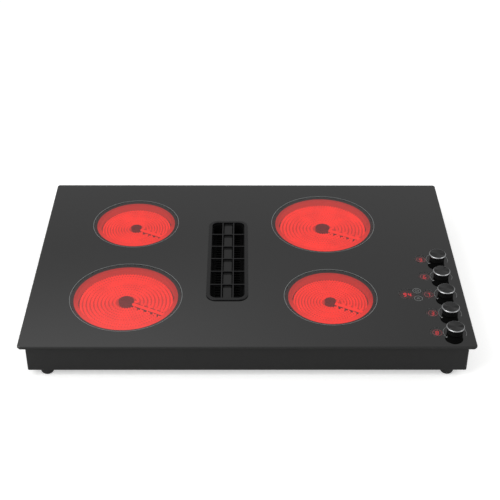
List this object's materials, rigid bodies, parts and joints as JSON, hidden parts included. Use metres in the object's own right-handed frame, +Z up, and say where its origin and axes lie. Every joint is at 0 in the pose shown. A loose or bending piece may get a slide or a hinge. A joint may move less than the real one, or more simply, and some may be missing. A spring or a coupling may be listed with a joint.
{
  "type": "downdraft electric cooktop",
  "caption": "Built-in glass cooktop with radiant heating zones, side control knobs and a central downdraft vent with lift-out grate, filter and blower in a flat steel pan.",
  "frame": {"origin": "on the surface below the feet, under the middle of the glass", "axes": "+X to the right towards the knobs, +Y to the back, +Z up"},
  "size_m": [0.77, 0.52, 0.088],
  "materials": {
    "ceramic_glass": "polished black glass-ceramic",
    "black_steel": "satin black powder coat",
    "zinc_steel": "zinc coated sheet",
    "dish_steel": "aluminised sheet",
    "foam": "closed cell foam",
    "rubber": "matt moulded rubber",
    "screw_steel": "zinc plated",
    "insulation": "pressed mineral insulation",
    "heating_alloy": "glowing resistance alloy",
    "limiter_ceramic": "fired ceramic",
    "well_plastic": "moulded black polymer",
    "grate_coat": "black enamelled casting",
    "filter_plastic": "glossy dark polymer",
    "filter_mesh": "black anodised",
    "motor_paint": "black electrocoat",
    "damper_sheet": "moulded",
    "knob_black": "satin black moulding",
    "knob_chrome": "bright plated",
    "encoder_plastic": "moulded",
    "board_green": "solder resist",
    "display_red": "lit segment display",
    "key_foam": "conductive foam",
    "terminal_plastic": "moulded"
  },
  "bodies": {
    "cooktop": {"glass_top": "ceramic_glass", "base_pan": "black_steel", "outlet_flange": "black_steel", "glass_frame": "zinc_steel", "element_springs": "zinc_steel", "dish_front_left": "dish_steel", "dish_front_right": "dish_steel", "dish_rear_left": "dish_steel", "dish_rear_right": "dish_steel", "rim_gasket": "foam", "rubber_feet": "rubber", "shaft_seals": "rubber", "case_screws": "screw_steel", "insulation_front_left": "insulation", "insulation_front_right": "insulation", "insulation_rear_left": "insulation", "insulation_rear_right": "insulation", "coil_front_left": "heating_alloy", "coil_front_right": "heating_alloy", "coil_rear_left": "heating_alloy", "coil_rear_right": "heating_alloy", "limiter_front_left": "limiter_ceramic", "limiter_front_right": "limiter_ceramic", "limiter_rear_left": "limiter_ceramic", "limiter_rear_right": "limiter_ceramic", "vent_well": "well_plastic", "blower_base": "well_plastic", "scroll_housing": "well_plastic", "blower_motor": "motor_paint", "encoders": "encoder_plastic", "relays": "encoder_plastic", "cable_gland": "encoder_plastic", "standoffs": "encoder_plastic", "control_board": "board_green", "power_board": "board_green", "digit_displays": "display_red", "timer_display": "display_red", "key_pads": "key_foam", "terminal_block": "terminal_plastic"},
    "filter": {"filter_frame": "filter_plastic", "filter_mesh": "filter_mesh"},
    "grate": {"vent_grate": "grate_coat"},
    "impeller": {"impeller": "well_plastic", "motor_shaft": "screw_steel"},
    "damper": {"damper_flap": "damper_sheet"},
    "knob_1": {"knob_1": "knob_black", "knob_ring_1": "knob_chrome", "knob_shaft_1": "screw_steel"},
    "knob_2": {"knob_2": "knob_black", "knob_ring_2": "knob_chrome", "knob_shaft_2": "screw_steel"},
    "knob_3": {"knob_3": "knob_black", "knob_ring_3": "knob_chrome", "knob_shaft_3": "screw_steel"},
    "knob_4": {"knob_4": "knob_black", "knob_ring_4": "knob_chrome", "knob_shaft_4": "screw_steel"},
    "knob_5": {"knob_5": "knob_black", "knob_ring_5": "knob_chrome", "knob_shaft_5": "screw_steel"}
  },
  "joints": [
    {"name": "filter_lift", "type": "slide", "parent": "cooktop", "child": "filter", "axis": [0, 0, 1], "range_m": [0, 0.08]},
    {"name": "grate_lift", "type": "slide", "parent": "filter", "child": "grate", "axis": [0, 0, 1], "range_m": [0, 0.06]},
    {"name": "impeller_spin", "type": "hinge", "parent": "cooktop", "child": "impeller", "pos_m": [-0.06, 0.1857, 0.051], "axis": [0, 0, 1], "continuous": true},
    {"name": "damper_swing", "type": "hinge", "parent": "cooktop", "child": "damper", "pos_m": [-0.00821, 0.2122, 0.0468], "axis": [1, 0, 0], "range_deg": [0, 75]},
    {"name": "knob_1_turn", "type": "hinge", "parent": "cooktop", "child": "knob_1", "pos_m": [0.352, -0.006, 0.074], "axis": [0, 0, 1], "range_deg": [0, 243]},
    {"name": "knob_2_turn", "type": "hinge", "parent": "cooktop", "child": "knob_2", "pos_m": [0.352, -0.06, 0.074], "axis": [0, 0, 1], "range_deg": [-81, 162]},
    {"name": "knob_3_turn", "type": "hinge", "parent": "cooktop", "child": "knob_3", "pos_m": [0.352, -0.114, 0.074], "axis": [0, 0, 1], "range_deg": [-54, 189]},
    {"name": "knob_4_turn", "type": "hinge", "parent": "cooktop", "child": "knob_4", "pos_m": [0.352, -0.168, 0.074], "axis": [0, 0, 1], "range_deg": [-162, 81]},
    {"name": "knob_5_turn", "type": "hinge", "parent": "cooktop", "child": "knob_5", "pos_m": [0.352, -0.222, 0.074], "axis": [0, 0, 1], "range_deg": [-27, 216]}
  ]
}
